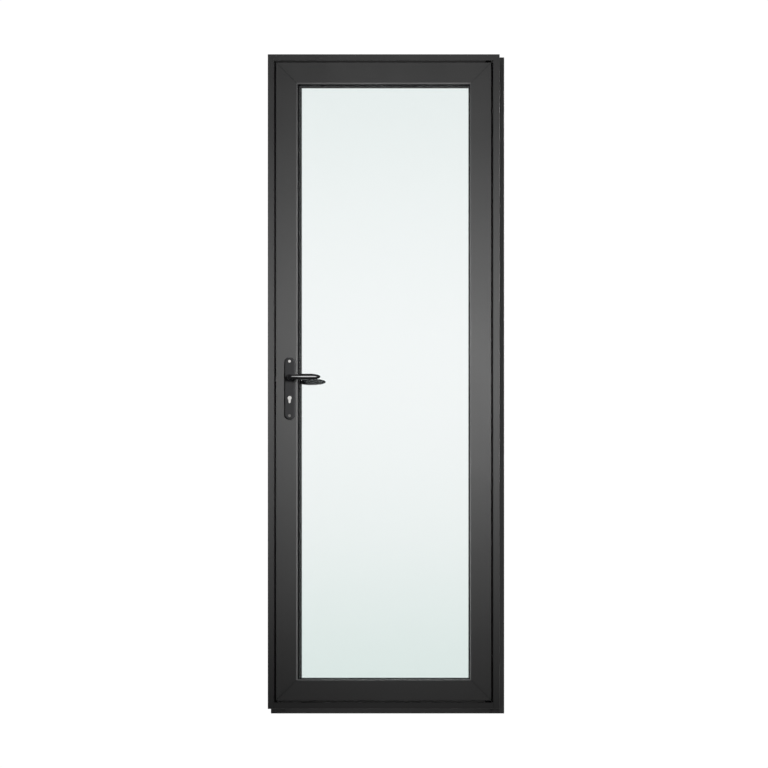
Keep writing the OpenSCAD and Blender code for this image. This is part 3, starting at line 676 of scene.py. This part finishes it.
def screw_rings():
    """Rings from the socket's floor up its walls, over the face and rim, down the cone to the
    shank. Hexagon: half width over the cosine of the angle from the nearest flat."""
    turn = full_turn()
    hexagon = SOCKET_FLAT / np.cos((turn + np.pi / 6) % (np.pi / 3) - np.pi / 6)
    circle = np.ones(AROUND)
    cone = HEAD_R - SHANK_R
    steps = [(hexagon * SOCKET_FLOOR, SOCKET_DEEP), (hexagon, SOCKET_DEEP - EDGE),
             (hexagon, EDGE), (hexagon + EDGE, 0.0), (hexagon + 2 * EDGE, 0.0),
             (circle * (HEAD_R - 2 * EDGE), 0.0), (circle * (HEAD_R - EDGE), 0.0),
             (circle * HEAD_R, EDGE), (circle * HEAD_R, RIM),
             (circle * SHANK_R, RIM + cone), (circle * SHANK_R, SCREW_L)]
    return turned(np.stack([r for r, _ in steps]), np.array([d for _, d in steps]))


screw_z = (screw_low.z + HEAD_R, screw_high.z - HEAD_R)
heads = [screw_rings() + (axis_x, screw_low.y, z) for z in screw_z]
tails = [head * (1, -1, 1) for head in heads]
lower_screw = piece("screw_head_front_lower", heads[:1], nickel, "leaf", flip=True)
upper_screw = piece("screw_head_front_upper", heads[1:], nickel, "leaf", flip=True)
rear_screws = piece("screw_heads_rear", tails, nickel, "leaf")
for made in (lower_screw, upper_screw, rear_screws):
    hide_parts("plate_screws")
mirrors.objects.link(upper_screw)
shine_on("mirrors_of_faint_card", [faint_card], [lower_screw])

# %% [markdown]
# The plates under the levers have a broad bevel: pale on the lamp's side and dark on the
# other. A plate has four holes, so one grid cannot cover it. It is cut level into four zones
# with one hole each. A zone runs from its border to its hole, down the hole's wall and out
# again at the back, and a bevelled strip goes round them all. Points that they share are
# merged.

# %% Plate borders and holes
BEVEL = 0.0045                   # width and depth of the bevel
NEAR = 0.0002                    # distance of the rings that keep an edge crisp
STEPS, CAP_POINTS = 24, 25       # points up a zone's side, and over a round end
TINY = 1e-9                      # keeps a division away from nought
KEYHOLE, POCKET = (0.015, 0.026, 0.0086), (0.0174, 0.0334, 0.0104)   # wide, high, slot
KEY_RIM = 0.0025                 # depth of the keyhole, before the cylinder's wider pocket
HEAD_BORE, SHANK_BORE, NECK_BORE = 0.0052, 0.0028, 0.00905

plate_r = (plate_high.x - plate_low.x) / 2
plate_t = plate_high.y - plate_low.y
key_low, key_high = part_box("key_plug_front")
key_z = (key_low.z + key_high.z) / 2
cap_low, cap_high = plate_low.z + plate_r, plate_high.z - plate_r
levels = [cap_low, (cap_low + key_z) / 2, (key_z + axis_z) / 2, (axis_z + cap_high) / 2, cap_high]


def border(inset, first, last):
    """Outline between two levels: up the right side, over, down the left side and back. At the
    plate's ends the way over is a half circle, elsewhere that half circle pressed flat."""
    half = plate_r - inset
    runs = [np.linspace(a, b, STEPS, endpoint=False)
            for a, b in zip(levels[first:last], levels[first + 1:])]
    up_side = np.append(np.concatenate(runs), levels[last])
    side = np.stack([np.full(up_side.size, half), up_side], -1)
    arc = np.radians(np.linspace(0, 180, CAP_POINTS)[1:-1])
    cap = half * np.stack([np.cos(arc), np.sin(arc)], -1)
    over = cap if last == len(levels) - 1 else cap * (1, 0)
    under = -cap if first == 0 else cap * (-1, 0)
    return np.concatenate([side, over + (0, levels[last]),
                           side[::-1] * (-1, 1), under + (0, levels[first])])


def keyhole(turn, wide, high, slot):
    """Way from the round part's middle to a keyhole's edge: its radius, or more in the slot."""
    down, aside = -np.sin(turn), np.maximum(np.abs(np.cos(turn)), TINY)
    end = high - wide / 2 - slot / 2
    wall = slot / 2 / aside
    foot = end * down + np.sqrt(np.maximum(0, (slot / 2) ** 2 - (end * aside) ** 2))
    below = np.where(wall * down <= end, wall, foot)
    return np.maximum(wide / 2, np.where(down > 0, below, 0))


def round_hole(turn, radius):
    """Way from the middle of a round hole to its edge: the same at every angle."""
    return np.full(turn.shape, radius)


screw_hole = [(round_hole, (HEAD_BORE,), 0.0), (round_hole, (HEAD_BORE,), RIM),
              (round_hole, (SHANK_BORE,), RIM + HEAD_BORE - SHANK_BORE),
              (round_hole, (SHANK_BORE,), plate_t)]
neck_hole = [(round_hole, (NECK_BORE,), 0.0), (round_hole, (NECK_BORE,), plate_t)]
key_hole = [(keyhole, KEYHOLE, 0.0), (keyhole, KEYHOLE, KEY_RIM),
            (keyhole, POCKET, KEY_RIM), (keyhole, POCKET, plate_t)]
holes = ((screw_z[0], screw_hole), (key_z, key_hole), (axis_z, neck_hole),
         (screw_z[1], screw_hole))
print("plate:", len(holes), "zones, bevelled by", BEVEL, "m")

# %% Plate skins
BORDER_SHARE = 0.02              # share of the way to the hole at which the border is doubled


def at_depth(flat, depth):
    """Points of the plate's plane set at a depth behind its face."""
    return np.stack([axis_x + flat[:, 0], np.full(len(flat), plate_face + depth), flat[:, 1]], -1)


def zone(index, middle, hole):
    """Rings from a zone's border at the face to its hole, through it, and out at the back."""
    edge = border(BEVEL, index, index + 1)
    ray = edge - (0, middle)
    turn = np.arctan2(ray[:, 1], ray[:, 0])
    way = np.stack([np.cos(turn), np.sin(turn)], -1)
    walls = [((0, middle) + way * shape(turn, *sizes)[:, None], depth)
             for shape, sizes, depth in hole]
    lip = walls[0][0] + way * NEAR
    flat = [(edge, 0.0), (edge + (lip - edge) * BORDER_SHARE, 0.0), (lip, 0.0)]
    rear = [(border(0.0, index, index + 1), plate_t)]
    return np.stack([at_depth(*ring) for ring in flat + walls + rear])


def bevelled_edge():
    """Rings from the back up the side, then straight over the bevel, doubled at its ends."""
    rings = [(0.0, plate_t), (0.0, plate_t - NEAR), (0.0, BEVEL + NEAR)]
    rings += [(way, BEVEL - way) for way in (0.0, NEAR, BEVEL - NEAR, BEVEL)]
    return np.stack([at_depth(border(inset, 0, len(levels) - 1), depth) for inset, depth in rings])


skins = [zone(index, *hole) for index, hole in enumerate(holes)] + [bevelled_edge()]
for where, mirror in (("front", 1), ("rear", -1)):
    made = piece("plate_skin_" + where, [skin * (1, mirror, 1) for skin in skins], satin,
                 "leaf", flip=mirror < 0, skin=sleeve)
    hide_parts("plate_" + where)

# %% [markdown]
# In the picture the front plate's right bevel is pale and its left one dark, more than the key
# lamp makes them. So that plate is taken out of the key lamp's light and has one of its own,
# which stands further to the right.

# %% Lamp for the front plate
PLATE_LAMP_X, PLATE_LAMP_FAR, PLATE_LAMP_Z, PLATE_WATTS = 1.0, 1.6, 1.5, 19.5
front_plate = bpy.data.objects["plate_skin_front"]
not_by_key = shine_on("not_by_key", [key_lamp], [front_plate])
not_by_key.collection_objects[0].light_linking.link_state = "EXCLUDE"
plate_lamp = lamp("plate_lamp", (PLATE_LAMP_X, front_y - PLATE_LAMP_FAR, PLATE_LAMP_Z),
                  (axis_x, front_y, key_z), KEY_SIZE, PLATE_WATTS,
                  mirrored=False, spread=KEY_SPREAD)
shine_on("front_plate_alone", [plate_lamp], [front_plate])
print("front plate lit by:", plate_lamp.name)

# %% [markdown]
# Where two coated bars meet, a hairline of sealant shows: slanted at the leaf's mitres and
# upright where the sill butts between the jambs. Each is a thin round bead, most of it sunk
# into the joint and carried along it.

# %% Joint lines
SEAM_R, SEAM_OUT, SEAM_AROUND = 0.0005, 0.00015, 8   # radius, how far it stands out, points
FRONT_RUN, REAR_RUN = 0.072, 0.068                   # sideways run of a mitre on each face
BUTT_X, BUTT_LOW = 0.393, 0.004                      # where the sill meets a jamb


def seam_rings(start, end):
    """Thin round bead from one point to another: a circle across the way at both ends."""
    start, end = np.array(start), np.array(end)
    turn = np.linspace(0, 2 * np.pi, SEAM_AROUND, endpoint=False)[:, None]
    outward = np.array((0, 1, 0))
    beside = np.cross(outward, (end - start) / np.linalg.norm(end - start))
    ring = SEAM_R * (np.cos(turn) * beside + np.sin(turn) * outward)
    return np.stack([start + ring, end + ring])


leaf_left, leaf_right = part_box("stile_lock")[0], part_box("stile_pivot")[1]
leaf_bottom, leaf_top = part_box("rail_bottom")[0].z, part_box("rail_top")[1].z
corners = [(x, z, sx, sz) for x, sx in ((leaf_left.x, 1), (leaf_right.x, -1))
           for z, sz in ((leaf_bottom, 1), (leaf_top, -1))]
sunk = SEAM_R - SEAM_OUT
faces = ((leaf_left.y + sunk, FRONT_RUN), (leaf_right.y - sunk, REAR_RUN))
mitres = [seam_rings((x, y, z), (x + sx * run, y, z + sz * run))
          for x, z, sx, sz in corners for y, run in faces]
_, sill_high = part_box("frame_sill")
butts = [seam_rings((x, front_y + sunk, BUTT_LOW), (x, front_y + sunk, sill_high.z))
         for x in (-BUTT_X, BUTT_X)]
sealant = finish("joint_sealant", (0.008, 0.008, 0.0085), roughness=0.6)
relief(sealant, grain(sealant, scale=900.0), height=0.00003)
piece("mitre_lines", mitres, sealant, "leaf")
piece("sill_lines", butts, sealant, "frame")

# %% [markdown]
# Behind the glass a wedge of rubber is pressed in beside the beads, and its lip lies on the
# pane. Seen through the glass it widens the dark edge of the view. A profile with a flat side
# on the pane and a quarter ellipse over it goes round the four beads, mitred at the corners.

# %% Wedge gasket's lip
LIP_WIDE, LIP_THICK, LIP_EDGE, LIP_ARC = 0.0068, 0.0045, 0.0006, 9
OFF_PANE = 0.0001                # gap between lip and pane


def lip_rings():
    """Profile: width times the cosine, thickness times the sine. Rings: one at each corner."""
    arc = np.radians(np.linspace(0, 90, LIP_ARC))
    wide = np.concatenate([[0, LIP_WIDE], LIP_WIDE * np.cos(arc)])
    thick = np.concatenate([[0, 0], LIP_EDGE + LIP_THICK * np.sin(arc)])
    left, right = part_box("bead_left")[1].x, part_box("bead_right")[0].x
    floor_z, ceiling_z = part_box("bead_bottom")[1].z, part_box("bead_top")[0].z
    rings = np.empty((4, wide.size, 3))
    rings[..., 0] = np.stack([left + wide, right - wide, right - wide, left + wide])
    rings[..., 1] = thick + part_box("pane_rear")[1].y + OFF_PANE
    rings[..., 2] = np.stack([floor_z + wide, floor_z + wide, ceiling_z - wide, ceiling_z - wide])
    return rings


piece("wedge_lip", [lip_rings()], wedge, "leaf", flip=True, skin=hoop, smooth=False)
